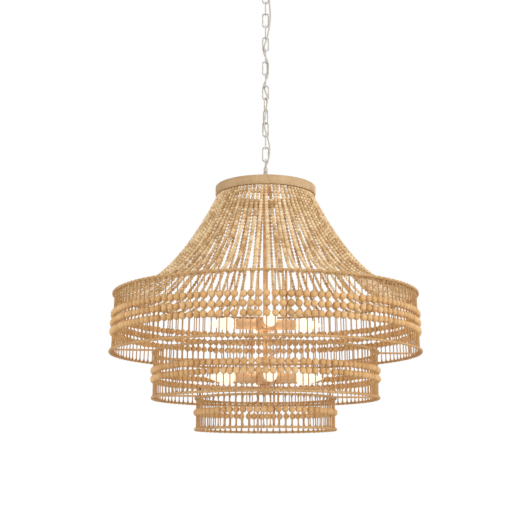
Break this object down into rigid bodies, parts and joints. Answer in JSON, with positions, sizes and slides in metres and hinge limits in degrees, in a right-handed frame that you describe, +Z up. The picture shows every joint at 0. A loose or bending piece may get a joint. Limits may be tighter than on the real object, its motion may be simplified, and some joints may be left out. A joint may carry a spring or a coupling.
{
  "type": "beaded chandelier",
  "caption": "Chandelier of wooden beads: a flared crown of bead strands over stepped beaded tiers, with candle lamps inside, hung on a chain from a ceiling rose.",
  "frame": {"origin": "centre of the ceiling bar's top face, which lies on the ceiling", "axes": "+Z up into the ceiling, -Y towards the person looking at it, +X to that person's right"},
  "size_m": [0.811, 0.811, 1.2679],
  "materials": {
    "whitewashed_metal": "matt",
    "tan_metal": "matt",
    "wood_beads": "matt",
    "wrapped_wire": "matt",
    "socket_sleeve": "matt",
    "lamp_glass": "gloss",
    "cord_jacket": "satin"
  },
  "bodies": {
    "ceiling": {"ceiling_bar": "whitewashed_metal", "ceiling_rose": "whitewashed_metal", "rose_tube": "whitewashed_metal", "rose_nut": "whitewashed_metal", "ceiling_loop": "whitewashed_metal"},
    "top_link": {"chain_link_01": "whitewashed_metal"},
    "chain": {"chain_link_02": "whitewashed_metal", "chain_link_03": "whitewashed_metal", "chain_link_04": "whitewashed_metal", "chain_link_05": "whitewashed_metal", "chain_link_06": "whitewashed_metal", "chain_link_07": "whitewashed_metal", "chain_link_08": "whitewashed_metal", "chain_link_09": "whitewashed_metal", "chain_link_10": "whitewashed_metal", "chain_link_11": "whitewashed_metal", "chain_link_12": "whitewashed_metal", "chain_link_13": "whitewashed_metal", "supply_cord": "cord_jacket"},
    "bottom_link": {"chain_link_14": "whitewashed_metal"},
    "fixture": {"stem_loop": "whitewashed_metal", "stem": "tan_metal", "stem_nut": "tan_metal", "crown_arms": "tan_metal", "middle_arms": "tan_metal", "lower_arms": "tan_metal", "upper_lamp_body": "tan_metal", "lower_lamp_body": "tan_metal", "crown_band": "wrapped_wire", "crown_strands_1": "wood_beads", "crown_strands_2": "wood_beads", "crown_strands_3": "wood_beads", "crown_strands_4": "wood_beads", "tier_1_beads": "wood_beads", "tier_2_beads": "wood_beads", "tier_3_beads": "wood_beads", "tier_1_top_ring": "wrapped_wire", "tier_1_bottom_ring": "wrapped_wire", "tier_2_top_ring": "wrapped_wire", "tier_2_bottom_ring": "wrapped_wire", "tier_3_top_ring": "wrapped_wire", "tier_3_bottom_ring": "wrapped_wire", "upper_socket_1": "socket_sleeve", "upper_bulb_1": "lamp_glass", "upper_socket_2": "socket_sleeve", "upper_bulb_2": "lamp_glass", "upper_socket_3": "socket_sleeve", "upper_bulb_3": "lamp_glass", "upper_socket_4": "socket_sleeve", "upper_bulb_4": "lamp_glass", "lower_socket_1": "socket_sleeve", "lower_bulb_1": "lamp_glass", "lower_socket_2": "socket_sleeve", "lower_bulb_2": "lamp_glass", "lower_socket_3": "socket_sleeve", "lower_bulb_3": "lamp_glass", "lower_socket_4": "socket_sleeve", "lower_bulb_4": "lamp_glass"}
  },
  "joints": [
    {"name": "top_link_swing", "type": "hinge", "parent": "ceiling", "child": "top_link", "pos_m": [0, 0, -0.0685], "axis": [0, 1, 0], "range_deg": [-20, 20], "deforming": ["supply_cord"]},
    {"name": "chain_swing", "type": "hinge", "parent": "top_link", "child": "chain", "pos_m": [0, 0, -0.1027], "axis": [1, 0, 0], "range_deg": [-20, 20], "deforming": ["supply_cord"]},
    {"name": "bottom_link_swing", "type": "hinge", "parent": "chain", "child": "bottom_link", "pos_m": [0, 0, -0.5191], "axis": [0, 1, 0], "range_deg": [-15, 15], "deforming": ["supply_cord"]},
    {"name": "shade_swing", "type": "hinge", "parent": "bottom_link", "child": "fixture", "pos_m": [0, 0, -0.5538], "axis": [1, 0, 0], "range_deg": [-15, 15], "deforming": ["supply_cord"]}
  ]
}
